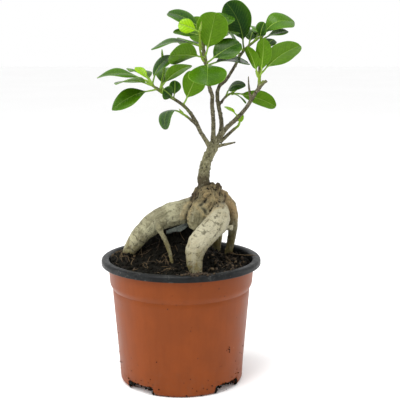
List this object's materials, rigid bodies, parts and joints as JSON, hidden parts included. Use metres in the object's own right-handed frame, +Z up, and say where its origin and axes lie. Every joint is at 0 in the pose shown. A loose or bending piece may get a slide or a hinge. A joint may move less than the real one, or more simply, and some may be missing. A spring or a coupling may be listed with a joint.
{
  "type": "potted bonsai tree",
  "caption": "Ficus ginseng bonsai in a round plastic nursery pot: a swollen root on splayed legs in heaped soil, a grafted trunk with slim branches and glossy oval leaves.",
  "frame": {"origin": "centre of the pot's base, on the surface that the pot stands on", "axes": "+Z up, -Y towards the front, which is the side that the thick front leg of the root is on, +X to the right as seen from the front"},
  "size_m": [0.1455, 0.12, 0.2835],
  "materials": {
    "pot": "semi-matt terracotta outside, black inside",
    "soil": "damp black peat with fibres and bark",
    "rootstock": "smooth grey-tan living bark with scars and scratches",
    "grafted_top": "fine grey-brown bark with pale lenticels",
    "leaf": "glossy, with a paler underside and midrib",
    "young_leaf": "satin yellow-green"
  },
  "bodies": {
    "root": {"pot": "pot", "soil": "soil", "rootstock": "rootstock", "grafted_top": "grafted_top", "leaf_fork_end": "leaf", "leaf_fork_rear": "leaf", "leaf_fork_small": "leaf", "leaf_fork_tall": "leaf", "leaf_left_broad": "leaf", "leaf_left_cupped": "leaf", "leaf_left_drooping": "leaf", "leaf_left_far": "leaf", "leaf_left_hanging": "leaf", "leaf_left_inner": "leaf", "leaf_left_rear": "leaf", "leaf_left_rear_upper": "leaf", "leaf_left_rising": "leaf", "leaf_left_round": "leaf", "leaf_left_round_upper": "leaf", "leaf_low_dark": "leaf", "leaf_low_hanging": "leaf", "leaf_low_long": "leaf", "leaf_middle_front": "leaf", "leaf_middle_left": "leaf", "leaf_middle_left_upper": "leaf", "leaf_middle_rear": "leaf", "leaf_middle_rear_right": "leaf", "leaf_middle_rear_upper": "leaf", "leaf_middle_right": "leaf", "leaf_middle_right_lower": "leaf", "leaf_middle_right_upper": "leaf", "leaf_middle_upright": "leaf", "leaf_right_broad": "leaf", "leaf_right_inner": "leaf", "leaf_right_narrow": "leaf", "leaf_right_rear": "leaf", "leaf_right_rear_lower": "leaf", "leaf_right_round": "leaf", "leaf_right_small": "leaf", "leaf_right_top": "leaf", "leaf_right_top_lower": "leaf", "leaf_top_left": "leaf", "leaf_top_right": "leaf", "leaf_top_small": "leaf", "young_leaf_fork": "young_leaf", "young_leaf_left_bud": "young_leaf", "young_leaf_left_spear": "young_leaf", "young_leaf_low": "young_leaf", "young_leaf_rear": "young_leaf", "young_leaf_top": "young_leaf"}
  },
  "joints": []
}
